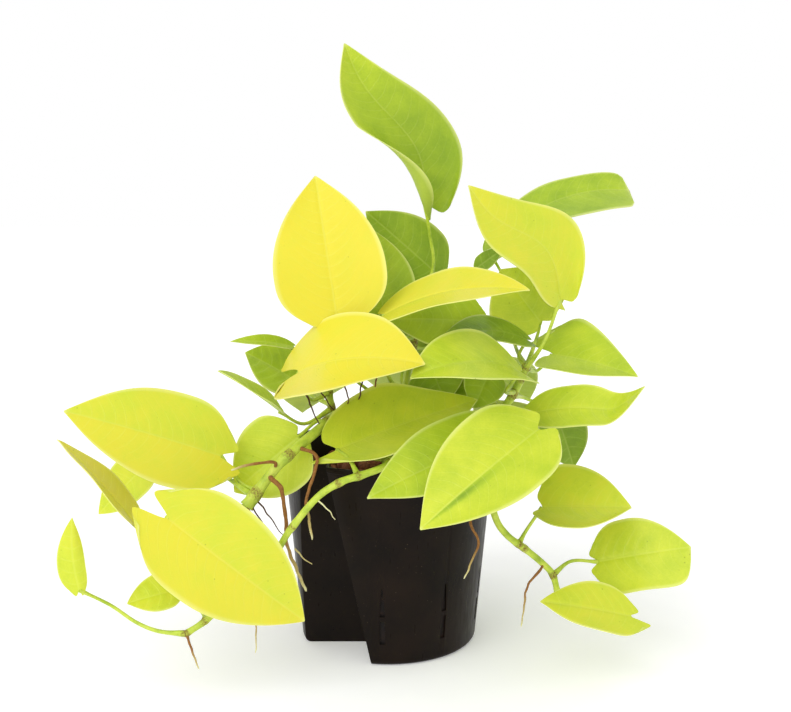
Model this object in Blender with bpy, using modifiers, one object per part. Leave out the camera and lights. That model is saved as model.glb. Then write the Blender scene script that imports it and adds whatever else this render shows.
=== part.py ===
"""Potted neon pothos in a black hydroculture culture pot.

The plant is a set of vines that root in the clay granules. Each vine is one piece with its leaf
stalks, and each leaf blade, aerial root and the pot is a piece of its own. Lengths below are in
millimetres and are turned to metres by MM. +Z is up, the viewer's side is -Y, and the origin is the
centre of the pot's base.
"""

import math

import bmesh
import bpy
from mathutils import Matrix, Vector

MM = 0.001

# Culture pot, 13 cm across and 12 cm high
POT_HEIGHT = 120.0
POT_TOP_RADIUS = 65.0
POT_BASE_RADIUS = 54.0
POT_WALL = 1.4
POT_FLOOR = 2.0
BASE_EDGE_RADIUS = 3.0
RIM_BEAD = 0.5
RIM_HEIGHT = 3.0
POT_STEPS = 72

# Channel down the front left for the water gauge: its two walls meet in an upright edge that leans outwards
GAUGE_ANGLE = math.radians(227.3)
GAUGE_EDGE_BASE = (-10.0, -16.8)
GAUGE_EDGE_TOP = (-35.6, -39.0)
GAUGE_REACH = -80.0
GAUGE_EDGE_ROUND = 2.5

# Drain slots round the foot, in pairs with a cross rib between
SLOT_ANGLES = [39, 78, 117, 156, 204, 243, 282, 321]
SLOT_WIDTH = 3.2
SLOT_SPANS = [(13.7, 28.0), (31.0, 46.0)]

# Clay granules
FILL_TOP = 107.5
FILL_GAP = 0.35
FILL_DOME = 2.5

# Leaf blade
BLADE_THICK = 0.6
LOBE_DEPTH = 0.08
BLADE_COLUMNS = 4
BLADE_ROWS = 7
WIDEST = 0.33
BASE_NARROWING = 0.5
TIP_WIDTH = 0.02
STALK_GAP = 2.2

STALK_RADIUS = 1.25
ROUTE_STEP = 3

# Each vine: its radius and the points that its centre line runs through
VINES = {
    "vine_left": (3.6, [(24, 14, 109), (10, 2, 138), (-8, -10, 152), (-29, -30, 146), (-39, -42, 140),
                        (-50, -55, 133), (-63, -64, 122), (-79, -72, 102)]),
    "vine_front_left": (2.3, [(6, -38, 109), (4, -54, 125), (-3, -70, 124), (-15, -76, 121), (-26, -79, 118),
                              (-39, -82, 110), (-54, -84, 92), (-62, -86, 80), (-80, -90, 62), (-98, -96, 46),
                              (-110, -98, 38)]),
    "vine_right": (2.4, [(34, -22, 109), (42, -36, 125), (49, -44, 127), (55, -49, 118), (61, -50, 91),
                         (68, -50, 79), (80, -48, 69), (90, -46, 60), (96, -46, 53), (99, -48, 42)]),
    "vine_crown_left": (2.4, [(-22, 4, 109), (-30, -4, 130), (-35, -12, 150), (-36, -14, 172)]),
    "vine_crown_centre": (2.6, [(4, 26, 109), (10, 20, 150), (16, 15, 185), (20, 12, 206)]),
    "vine_crown_right": (2.8, [(40, 0, 109), (58, -10, 132), (72, -15, 151), (82, -13, 170)]),
    "vine_back": (2.4, [(-6, 36, 109), (-4, 48, 128), (6, 58, 140), (20, 62, 146)]),
}

# Each leaf: the vine it grows on, the points its stalk runs through, the foot and tip of its blade, the
# way its upper side faces, its width, how far its midrib droops, and how far each half folds up (degrees)
LEAVES = {
    "leaf_01": ("vine_crown_centre", [(27, 13, 228), (25, 8, 246)],
                (22, 2, 265), (-25, -12, 358), (0.42, -0.87, 0.24), 58, 10, 35, 35),
    "leaf_02": ("vine_crown_right", [(77, 16, 182), (76, 46, 210)],
                (64, 58, 234), (151, 46, 273), (0, -0.5, 0.87), 44, 70, 15, 10),
    "leaf_03": ("vine_crown_right", [(92, -20, 188)],
                (103, 0, 209), (46, -24, 278), (0.55, -0.68, 0.45), 50, 15, 10, 10),
    "leaf_04": ("vine_crown_left", [(-32, -20, 188)],
                (-30, -25, 202), (-43, -5, 283), (0.05, -1.0, 0.2), 66, 10, 10, 10),
    "leaf_05": ("vine_crown_left", [(-46, -28, 154)],
                (-51, -50, 174), (20, -80, 184), (0.05, -0.65, 0.75), 76, 50, 0, 30),
    "leaf_06": ("vine_crown_centre", [(2, 0, 184), (-1, -12, 198)],
                (-3, -24, 203), (78, -60, 222), (-0.05, -0.35, 0.95), 54, 38, 10, 10),
    "leaf_07": ("vine_crown_right", [(78, -6, 176)],
                (83, -6, 186), (28, -18, 185), (0, -0.3, 0.95), 38, 60, 5, 5),
    "leaf_08": ("vine_crown_right", [(68, -34, 160)],
                (75, -48, 174), (12, -84, 177), (0, -0.42, 0.9), 56, 55, 15, 15),
    "leaf_09": ("vine_crown_right", [(90, 0, 166)],
                (99, 2, 176), (146, -25, 167), (0.1, -0.7, 0.7), 64, 20, 0, 45),
    "leaf_10": ("vine_right", [(66, -44, 132), (74, -40, 136)],
                (82, -38, 148), (143, -60, 168), (-0.1, -0.5, 0.85), 36, -40, 10, 10),
    "leaf_11": ("vine_crown_right", [(84, 4, 148)],
                (103, 10, 138), (115, 10, 103), (0.2, -1, 0.2), 32, 15, 10, 10),
    "leaf_12": ("vine_right", [(64, -60, 126), (79, -76, 137)],
                (82, -80, 148), (17, -114, 102), (-0.1, -0.8, 0.6), 58, 20, 26, 12),
    "leaf_13": ("vine_right", [(54, -46, 138)],
                (67, -60, 141), (-11, -100, 115), (-0.2, -0.75, 0.6), 40, 15, 10, 10),
    "leaf_14": ("vine_front_left", [(-22, -66, 128)],
                (-29, -57, 131), (52, -28, 154), (-0.1, -0.7, 0.7), 60, 10, 5, 55),
    "leaf_15": ("vine_front_left", [(-2, -37, 118), (-14, -30, 127)],
                (-14, -38, 127), (28, -32, 143), (0, -0.7, 0.6), 26, 10, 5, 5),
    "leaf_16": ("vine_left", [(-84, -57, 112)],
                (-94, -60, 128), (-175, -84, 159), (-0.1, -0.8, 0.6), 56, 15, 10, 10),
    "leaf_17": ("vine_left", [(-98, -82, 100), (-112, -93, 102)],
                (-117, -106, 106), (-46, -90, 42), (0, -0.95, 0.3), 60, 15, 10, 15),
    "leaf_18": ("vine_left", [(-105, -76, 98), (-124, -83, 84)],
                (-139, -84, 96), (-183, -70, 140), (0.65, 0.05, 0.72), 36, 10, 15, 15),
    "leaf_19": ("vine_left", [(-100, -46, 116), (-124, -36, 122)],
                (-139, -35, 119), (-172, -30, 85), (-0.3, -0.8, 0.3), 28, 10, 10, 10),
    "leaf_20": ("vine_front_left", [(-125, -97, 39), (-138, -94, 43), (-152, -92, 52)],
                (-167, -99, 63), (-170, -96, 103), (-0.2, -0.95, 0.1), 16, 10, 0, -50),
    "leaf_21": ("vine_front_left", [(-103, -88, 47)],
                (-116, -84, 58), (-143, -92, 53), (-0.1, -0.6, 0.8), 24, 10, 10, 55),
    "leaf_22": ("vine_left", [(-42, -34, 142)],
                (-52, -44, 135), (-89, -46, 103), (-0.1, -0.95, 0.3), 48, 10, 10, 10),
    "leaf_23": ("vine_crown_left", [(-40, 4, 158)],
                (-59, 2, 181), (-94, -12, 186), (-0.1, -0.6, 0.7), 10, 20, 20, 20),
    "leaf_24": ("vine_crown_left", [(-50, -22, 138)],
                (-64, -27, 147), (-98, -38, 173), (0.3, 0, 0.9), 34, 10, 15, 15),
    "leaf_25": ("vine_crown_left", [(-46, 0, 150)],
                (-58, 4, 160), (-87, 2, 177), (0.1, -0.6, 0.8), 38, 10, 10, 10),
    "leaf_26": ("vine_crown_centre", [(20, 30, 198)],
                (29, 26, 223), (-14, 20, 261), (-0.1, -0.9, 0.3), 42, 10, 15, 15),
    "leaf_27": ("vine_crown_centre", [(2, 14, 184)],
                (-3, 10, 199), (-11, 14, 251), (0.3, -0.9, 0.2), 44, 10, 10, 10),
    "leaf_28": ("vine_right", [(80, -46, 80)],
                (89, -45, 94), (140, -50, 95), (0.1, -0.65, 0.75), 60, 10, 0, 50),
    "leaf_29": ("vine_right", [(108, -36, 58)],
                (124, -34, 57), (176, -46, 70), (0.1, -0.8, 0.55), 44, 20, 5, 5),
    "leaf_30": ("vine_right", [(115, -50, 33), (128, -62, 27)],
                (137, -72, 38), (85, -78, 49), (0, -0.5, 0.87), 36, 10, 10, 10),
    "leaf_31": ("vine_crown_right", [(58, 2, 172)],
                (47, -4, 168), (49, -15, 150), (0, -1, 0.1), 30, 10, 10, 10),
    "leaf_32": ("vine_crown_right", [(68, -6, 168)],
                (60, -14, 168), (50, -25, 148), (0, -1, 0.1), 26, 10, 10, 10),
    "leaf_33": ("vine_crown_right", [(44, 0, 164)],
                (26, -8, 168), (34, -20, 150), (0, -1, 0.1), 36, 10, 10, 10),
    "leaf_34": ("vine_crown_right", [(92, 18, 186)],
                (93, 14, 194), (68, 16, 226), (-0.1, -0.9, 0.3), 52, 10, 10, 10),
    "leaf_35": ("vine_crown_centre", [(38, 16, 188)],
                (55, 6, 195), (-2, -4, 198), (0, -0.7, 0.5), 42, 15, 10, 10),
    "leaf_36": ("vine_crown_centre", [(24, 28, 176)],
                (32, 34, 186), (19, 28, 164), (0, 0.9, 0.3), 50, 10, 10, 10),
    "leaf_37": ("vine_crown_centre", [(40, 18, 212)],
                (54, 16, 227), (70, 14, 239), (0, -0.8, 0.5), 12, 10, 30, 30),
    "leaf_38": ("vine_back", [(-20, 46, 150)],
                (-35, 45, 160), (-60, 95, 120), (-0.3, 0.6, 0.75), 62, 20, 10, 10),
    "leaf_39": ("vine_back", [(8, 56, 150)],
                (10, 62, 160), (15, 122, 118), (0, 0.6, 0.8), 64, 20, 10, 10),
    "leaf_40": ("vine_back", [(40, 54, 152)],
                (52, 52, 162), (95, 88, 130), (0.3, 0.6, 0.75), 60, 20, 10, 10),
    "leaf_41": ("vine_back", [(-10, 44, 172)],
                (-12, 42, 192), (-30, 92, 213), (0, 0.1, 1), 56, 20, 10, 10),
    "leaf_42": ("vine_back", [(44, 44, 136)],
                (66, 40, 136), (102, 62, 90), (0.5, 0.7, 0.5), 52, 20, 10, 10),
}

# Aerial roots: radius at the top and the points of the centre line
ROOTS = {
    "aerial_root_01": (1.5, [(-63, -72, 117), (-59, -73, 111), (-57, -73, 96), (-56, -75, 80), (-51, -76, 66),
                             (-46, -76, 54)]),
    "aerial_root_02": (1.1, [(-64, -70, 127), (-77, -76, 127), (-86, -80, 125)]),
    "aerial_root_03": (0.8, [(-75, -78, 99), (-71, -80, 92), (-67, -80, 84)]),
    "aerial_root_04": (1.1, [(-40, -66, 128), (-45, -76, 108), (-44, -78, 98), (-42, -79, 85)]),
    "aerial_root_05": (0.9, [(88, -49, 57), (81, -50, 48), (79, -51, 36), (78, -51, 23)]),
    "aerial_root_06": (0.8, [(-108, -101, 34), (-106, -101, 28), (-103, -102, 19)]),
    "aerial_root_07": (0.7, [(-71, -91, 66), (-72, -94, 46), (-73, -94, 25)]),
    "aerial_root_08": (0.9, [(47, -62, 91), (51, -64, 78), (47, -66, 68), (43, -66, 58)]),
}

COLOURS = {
    "pot": ((0.011, 0.008, 0.007), 0.35),
    "clay": ((0.30, 0.13, 0.07), 0.95),
    "leaf": ((0.55, 0.68, 0.06), 0.4),
    "stem": ((0.48, 0.60, 0.10), 0.45),
    "root": ((0.20, 0.11, 0.05), 0.8),
}


def clear_scene():
    for thing in list(bpy.data.objects):
        bpy.data.objects.remove(thing, do_unlink=True)


def new_collection(name):
    collection = bpy.data.collections.new(name)
    bpy.context.scene.collection.children.link(collection)
    return collection


def new_material(name):
    colour, roughness = COLOURS[name]
    material = bpy.data.materials.new(name)
    material.use_nodes = True
    shader = material.node_tree.nodes["Principled BSDF"]
    shader.inputs["Base Color"].default_value = (*colour, 1.0)
    shader.inputs["Roughness"].default_value = roughness
    return material


def object_from_bmesh(name, mesh_builder, collection):
    mesh = bpy.data.meshes.new(name)
    mesh_builder.to_mesh(mesh)
    mesh_builder.free()
    thing = bpy.data.objects.new(name, mesh)
    collection.objects.link(thing)
    return thing


def make_cutter(thing):
    thing.hide_render = True
    thing.display_type = "WIRE"
    return thing


def add_boolean(thing, cutter, operation):
    boolean = thing.modifiers.new(cutter.name, "BOOLEAN")
    boolean.operation = operation
    boolean.object = cutter
    return boolean


def turned(name, profile, collection, steps=POT_STEPS):
    """A closed turned body from (radius, height) points that run down its outer side."""
    builder = bmesh.new()
    corners = [builder.verts.new((radius * MM, 0, height * MM)) for radius, height in profile]
    for first, second in zip(corners, corners[1:]):
        builder.edges.new((first, second))
    thing = object_from_bmesh(name, builder, collection)
    screw = thing.modifiers.new("turn", "SCREW")
    screw.steps = screw.render_steps = steps
    screw.use_merge_vertices = True
    screw.merge_threshold = 0.00001
    return thing


def pot_radius(height):
    return POT_BASE_RADIUS + (POT_TOP_RADIUS - POT_BASE_RADIUS) * height / POT_HEIGHT


def gauge_channel(name, grow, collection):
    """A draughted block whose inner upright edge is the channel's; grow moves its two walls inwards."""
    margin = 5.0
    builder = bmesh.new()
    bmesh.ops.create_cube(builder, size=1.0)
    for vert in builder.verts:
        height = POT_HEIGHT + margin if vert.co.z > 0 else -margin
        share = height / POT_HEIGHT
        edge = [low + (high - low) * share + grow for low, high in zip(GAUGE_EDGE_BASE, GAUGE_EDGE_TOP)]
        x = edge[0] if vert.co.x > 0 else GAUGE_REACH
        y = edge[1] if vert.co.y > 0 else GAUGE_REACH
        vert.co = Vector((x, y, height)) * MM
    inner = [edge for edge in builder.edges
             if all(vert.co.x > GAUGE_REACH / 1.2 * MM and vert.co.y > GAUGE_REACH / 1.2 * MM for vert in edge.verts)]
    bmesh.ops.bevel(builder, geom=inner, offset=GAUGE_EDGE_ROUND * MM, segments=3, affect="EDGES", profile=0.5)
    return make_cutter(object_from_bmesh(name, builder, collection))


def drain_slots(collection):
    cutters = []
    for angle in SLOT_ANGLES:
        for low, high in SLOT_SPANS:
            middle = (low + high) / 2
            turn = GAUGE_ANGLE + math.radians(angle)
            builder = bmesh.new()
            bmesh.ops.create_cube(builder, size=MM)
            bmesh.ops.scale(builder, verts=builder.verts, vec=(12, SLOT_WIDTH, high - low))
            place = Matrix.Rotation(turn, 4, "Z") @ Matrix.Translation((pot_radius(middle) * MM, 0, middle * MM))
            bmesh.ops.transform(builder, verts=builder.verts, matrix=place)
            name = f"slot_{angle}_{round(low)}"
            cutters.append(make_cutter(object_from_bmesh(name, builder, collection)))
    return cutters


def build_pot(parts, cutters):
    edge = BASE_EDGE_RADIUS
    foot = [(POT_BASE_RADIUS - edge * (1 - math.sin(turn)), edge * (1 - math.cos(turn)))
            for turn in (math.radians(step * 30) for step in (3, 2, 1, 0))]
    outside = [(0, POT_HEIGHT), (POT_TOP_RADIUS, POT_HEIGHT), (POT_TOP_RADIUS, POT_HEIGHT - RIM_HEIGHT),
               (pot_radius(POT_HEIGHT - RIM_HEIGHT) - RIM_BEAD, POT_HEIGHT - RIM_HEIGHT - RIM_BEAD)]
    outside += foot + [(0, 0)]
    pot = turned("culture_pot", outside, parts)
    inside = [(0, POT_HEIGHT + 1), (pot_radius(POT_HEIGHT + 1) - POT_WALL - RIM_BEAD, POT_HEIGHT + 1),
              (pot_radius(POT_FLOOR) - POT_WALL - RIM_BEAD, POT_FLOOR), (0, POT_FLOOR)]
    cavity = make_cutter(turned("cavity", inside, cutters))
    cavity.rotation_euler.z = math.pi / POT_STEPS  # so that its edges miss the edges of the rim
    add_boolean(cavity, gauge_channel("channel_lining", POT_WALL, cutters), "DIFFERENCE")
    add_boolean(pot, gauge_channel("channel", 0, cutters), "DIFFERENCE")
    add_boolean(pot, cavity, "DIFFERENCE")
    for slot in drain_slots(cutters):
        add_boolean(pot, slot, "DIFFERENCE")
    pot.data.materials.append(new_material("pot"))
    return pot


def build_granules(parts, cutters):
    """The clay fill as one body with a domed top, clear of the pot and of the channel's lining."""
    shrink = POT_WALL + RIM_BEAD + FILL_GAP
    low = POT_FLOOR + FILL_GAP
    rim = pot_radius(FILL_TOP) - shrink
    profile = [(0, FILL_TOP), (rim * 0.6, FILL_TOP - FILL_DOME * 0.4), (rim, FILL_TOP - FILL_DOME),
               (pot_radius(low) - shrink, low), (0, low)]
    fill = turned("clay_granules", profile, parts, steps=36)
    channel = gauge_channel("channel_clearance", POT_WALL + FILL_GAP, cutters)
    add_boolean(fill, channel, "DIFFERENCE")
    fill.data.materials.append(new_material("clay"))
    return fill


def smooth_route(points, per_span=ROUTE_STEP):
    """Points of a Catmull-Rom curve through the given ones."""
    points = [Vector(point) for point in points]
    padded = [2 * points[0] - points[1]] + points + [2 * points[-1] - points[-2]]
    route = []
    for before, start, end, after in zip(padded, padded[1:], padded[2:], padded[3:]):
        for step in range(per_span):
            t = step / per_span
            route.append(0.5 * (2 * start + (end - before) * t
                                + (2 * before - 5 * start + 4 * end - after) * t ** 2
                                + (3 * start - before - 3 * end + after) * t ** 3))
    route.append(points[-1])
    return route


def tube(name, route, radii, sides_setting, collection):
    """A closed mesh tube along a route, made from a bevelled curve."""
    curve = bpy.data.curves.new(name, "CURVE")
    curve.dimensions = "3D"
    curve.bevel_depth = MM
    curve.bevel_resolution = sides_setting
    curve.use_fill_caps = True
    spline = curve.splines.new("POLY")
    spline.points.add(len(route) - 1)
    for point, place, radius in zip(spline.points, route, radii):
        point.co = (*(place * MM), 1.0)
        point.radius = radius
    guide = bpy.data.objects.new(name + "_curve", curve)
    collection.objects.link(guide)
    bpy.context.view_layer.update()
    graph = bpy.context.evaluated_depsgraph_get()
    mesh = bpy.data.meshes.new_from_object(guide.evaluated_get(graph))
    builder = bmesh.new()
    builder.from_mesh(mesh)
    bmesh.ops.remove_doubles(builder, verts=builder.verts, dist=0.000001)
    bmesh.ops.recalc_face_normals(builder, faces=builder.faces)
    bpy.data.objects.remove(guide, do_unlink=True)
    bpy.data.meshes.remove(mesh)
    return object_from_bmesh(name, builder, collection)


def taper(count, start, end):
    return [start + (end - start) * index / (count - 1) for index in range(count)]


def back_of_lobe(side):
    """How far the margin reaches behind the stalk, 0 at the stalk and 1 at the deepest point of a lobe."""
    peak = 0.55
    side = abs(side)
    if side < peak:
        share = side / peak
        return share ** 2 * (3 - 2 * share)
    return 1 - 0.5 * ((side - peak) / (1 - peak)) ** 2


def half_width(along):
    """Half the blade's width at a share of its length, as a share of the widest."""
    if along < WIDEST:
        return 1 - BASE_NARROWING * ((WIDEST - along) / WIDEST) ** 2
    beyond = (along - WIDEST) / (1 - WIDEST)
    return (1 - beyond ** 2) * (1 - 0.15 * beyond ** 6) + TIP_WIDTH * beyond


def blade_point(along, side, chord, width, bend, folds):
    """A point of the blade: the foot is at 0, the tip at +Y, the upper side faces +Z."""
    bend = math.radians(bend)
    arc = chord * (bend / 2) / math.sin(bend / 2)
    reach = along - LOBE_DEPTH * back_of_lobe(side) * (1 - along) ** 3
    lean = bend * (0.5 - reach)
    y = arc / bend * (math.sin(bend / 2) - math.sin(lean))
    z = arc / bend * (math.cos(lean) - math.cos(bend / 2))
    fold = math.radians(folds[0] if side < 0 else folds[1]) or 0.001
    across = width / 2 * half_width(along)
    start, end = 0.35 * fold, fold * (0.35 + 0.65 * abs(side))
    x = across / (0.65 * fold) * (math.sin(end) - math.sin(start))
    lift = across / (0.65 * fold) * (math.cos(start) - math.cos(end))
    return Vector((math.copysign(x, side) if side else 0.0, y - math.sin(lean) * lift, z + math.cos(lean) * lift))


def blade_frame(foot, tip, facing):
    """The matrix that turns +Y to the tip and +Z to the upper side, at the blade's foot."""
    ahead = (tip - foot).normalized()
    up = (facing - ahead * facing.dot(ahead)).normalized()
    turn = Matrix((ahead.cross(up), ahead, up)).transposed()
    return Matrix.Translation(foot * MM) @ turn.to_4x4()


def build_blade(name, foot, tip, facing, width, bend, folds, material, collection):
    builder = bmesh.new()
    bmesh.ops.create_grid(builder, x_segments=BLADE_COLUMNS, y_segments=BLADE_ROWS, size=1.0)
    chord = (tip - foot).length
    for vert in builder.verts:
        along = (vert.co.y + 1) / 2
        side = vert.co.x
        vert.co = blade_point(along, side, chord, width, bend, folds) * MM
    thing = object_from_bmesh(name, builder, collection)
    thing.matrix_world = blade_frame(foot, tip, facing)
    solidify = thing.modifiers.new("thickness", "SOLIDIFY")
    solidify.thickness = BLADE_THICK * MM
    solidify.offset = 0
    thing.data.materials.append(material)
    return thing


def stalk_end(row):
    """Just under the foot of the blade, on its lower side."""
    foot, tip, facing = Vector(row[2]), Vector(row[3]), Vector(row[4])
    frame = blade_frame(foot, tip, facing).to_3x3()
    lean = math.radians(row[6]) / 2
    return foot - frame @ Vector((0, -math.sin(lean), math.cos(lean))) * STALK_GAP


def nearest(route, point):
    return min(route, key=lambda place: (place - point).length)


def build_vine(name, radius, points, stalks, parts, guides):
    route = smooth_route(points)
    vine = tube(name, route, taper(len(route), radius, radius * 0.8), 2, parts)
    for leaf, via, under in stalks:
        start = nearest(route, Vector(via[0]))
        stalk_route = smooth_route([start, *via, under], 2)
        stalk = tube(leaf + "_stalk", stalk_route,
                     taper(len(stalk_route), STALK_RADIUS * 1.15, STALK_RADIUS * 0.85), 1, guides)
        add_boolean(vine, make_cutter(stalk), "UNION")
    vine.data.materials.append(bpy.data.materials["stem"])
    return vine


def build_plant(parts, guides):
    leaf_material = new_material("leaf")
    new_material("stem")
    root_material = new_material("root")
    for name, (vine, via, foot, tip, facing, width, bend, left_fold, right_fold) in LEAVES.items():
        build_blade(name, Vector(foot), Vector(tip), Vector(facing), width, bend, (left_fold, right_fold),
                    leaf_material, parts)
    for name, (radius, points) in VINES.items():
        stalks = [(leaf, row[1], stalk_end(row)) for leaf, row in LEAVES.items() if row[0] == name]
        build_vine(name, radius, points, stalks, parts, guides)
    for name, (radius, points) in ROOTS.items():
        route = smooth_route(points, 3)
        root = tube(name, route, taper(len(route), radius, radius * 0.45), 1, parts)
        root.data.materials.append(root_material)


def main():
    clear_scene()
    parts = new_collection("potted_pothos")
    guides = new_collection("cutters")
    build_pot(parts, guides)
    build_granules(parts, guides)
    build_plant(parts, guides)


main()
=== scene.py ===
import math
import random

import bpy
from mathutils import Matrix, Vector, noise


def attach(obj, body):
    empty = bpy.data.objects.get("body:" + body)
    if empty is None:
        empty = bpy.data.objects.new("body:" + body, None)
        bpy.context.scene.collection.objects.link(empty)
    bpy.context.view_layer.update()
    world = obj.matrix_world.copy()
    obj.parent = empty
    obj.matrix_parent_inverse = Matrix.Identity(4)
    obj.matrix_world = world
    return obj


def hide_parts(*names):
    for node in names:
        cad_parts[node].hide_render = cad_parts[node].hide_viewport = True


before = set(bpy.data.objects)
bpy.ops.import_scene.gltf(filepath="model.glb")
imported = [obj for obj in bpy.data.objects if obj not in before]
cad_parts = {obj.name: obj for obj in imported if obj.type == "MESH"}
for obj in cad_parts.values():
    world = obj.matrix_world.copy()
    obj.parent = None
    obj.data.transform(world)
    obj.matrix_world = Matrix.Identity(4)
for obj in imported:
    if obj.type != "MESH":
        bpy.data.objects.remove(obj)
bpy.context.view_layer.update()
scene = bpy.context.scene
mm = 0.001


def linear(hexText):  # sRGB hex to the linear numbers that the shaders use
    parts = [int(hexText[at:at + 2], 16) / 255 for at in (1, 3, 5)]
    return (*(part / 12.92 if part <= 0.04045 else ((part + 0.055) / 1.055) ** 2.4
              for part in parts), 1)


def feed(node, links):  # input: what feeds it, where a node stands for its first output
    for key, source in links.items():
        socket = source.outputs[0] if isinstance(source, bpy.types.Node) else source
        node.id_data.links.new(socket, node.inputs[key])


def addNode(tree, kind, settings=None, links=None):  # a node, its settings and what feeds it
    node = tree.nodes.new("ShaderNode" + kind)
    for key, value in (settings or {}).items():
        if isinstance(key, int) or key in node.inputs:
            node.inputs[key].default_value = value
        else:
            setattr(node, key, value)
    feed(node, links or {})
    return node


def setRamp(node, stops):  # stops: (place, hex colour)
    ramp = node.color_ramp
    while len(ramp.elements) < len(stops):
        ramp.elements.new(0.5)
    for element, (place, hexText) in zip(ramp.elements, stops):
        element.position = place
        element.color = linear(hexText)


def patternScale(size):  # for a pattern whose spots are this many mm across
    return 1 / (size * mm)


def startMaterial(name, roughness, ior=1.5):
    material = bpy.data.materials.new(name)
    material.use_nodes = True
    shader = material.node_tree.nodes["Principled BSDF"]
    shader.inputs["Roughness"].default_value = roughness
    shader.inputs["IOR"].default_value = ior
    return material, material.node_tree, shader


def bump(distance, width):  # 1 at the middle, fading to 0
    return math.exp(-(distance / width) ** 2)


def selectOnly(thing):
    bpy.ops.object.select_all(action="DESELECT")
    thing.select_set(True)
    bpy.context.view_layer.objects.active = thing


def applyModifiers(thing):
    selectOnly(thing)
    for modifier in list(thing.modifiers):
        bpy.ops.object.modifier_apply(modifier=modifier.name)


def joinWith(thing, other, operation):  # a Boolean that uses the other object up
    modifier = thing.modifiers.new("shape", "BOOLEAN")
    modifier.operation = operation
    modifier.solver = "EXACT"
    modifier.object = other
    applyModifiers(thing)
    bpy.data.objects.remove(other, do_unlink=True)


def joinAll(pieces):
    bpy.ops.object.select_all(action="DESELECT")
    for piece in pieces:
        piece.select_set(True)
    bpy.context.view_layer.objects.active = pieces[0]
    bpy.ops.object.join()
    return pieces[0]


def setValues(thing, name, values):  # one number for each vertex, for the material to read
    thing.data.attributes.new(name, "FLOAT", "POINT").data.foreach_set("value", values)


def finishPiece(thing, name, material, nodes=(), smoothAngle=40):
    selectOnly(thing)
    bpy.ops.object.transform_apply(location=True, rotation=True, scale=True)
    bpy.ops.object.shade_smooth_by_angle(angle=math.radians(smoothAngle))
    thing.name = name
    thing.data.materials.clear()
    thing.data.materials.append(material)
    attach(thing, "root")
    if nodes:
        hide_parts(*nodes)
    return thing


# Materials. Pattern sizes, widths, relief and depth are in mm

leafLook = dict(blotch=14, freckle=1.1, pits=5, veinSpacing=6.5, veinWidth=0.55, ribWidth=0.9,
                veinLean=0.09, veinCurve=1.7, relief=0.22, depth=1.6, glow=0.12,
                roughness=0.36, gloss=0.36, markSpan=200,
                tones=[(0.0, "#E3D63A"), (0.18, "#DBD73C"), (0.36, "#CBD63A"), (0.55, "#B0C62F"),
                       (0.75, "#8FAC28"), (1.0, "#688823")],
                vein="#E4EE84", margin="#F1F3A6", undersideAndPaintedLight="#D0DC74", prick="#7C8A24")


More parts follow.
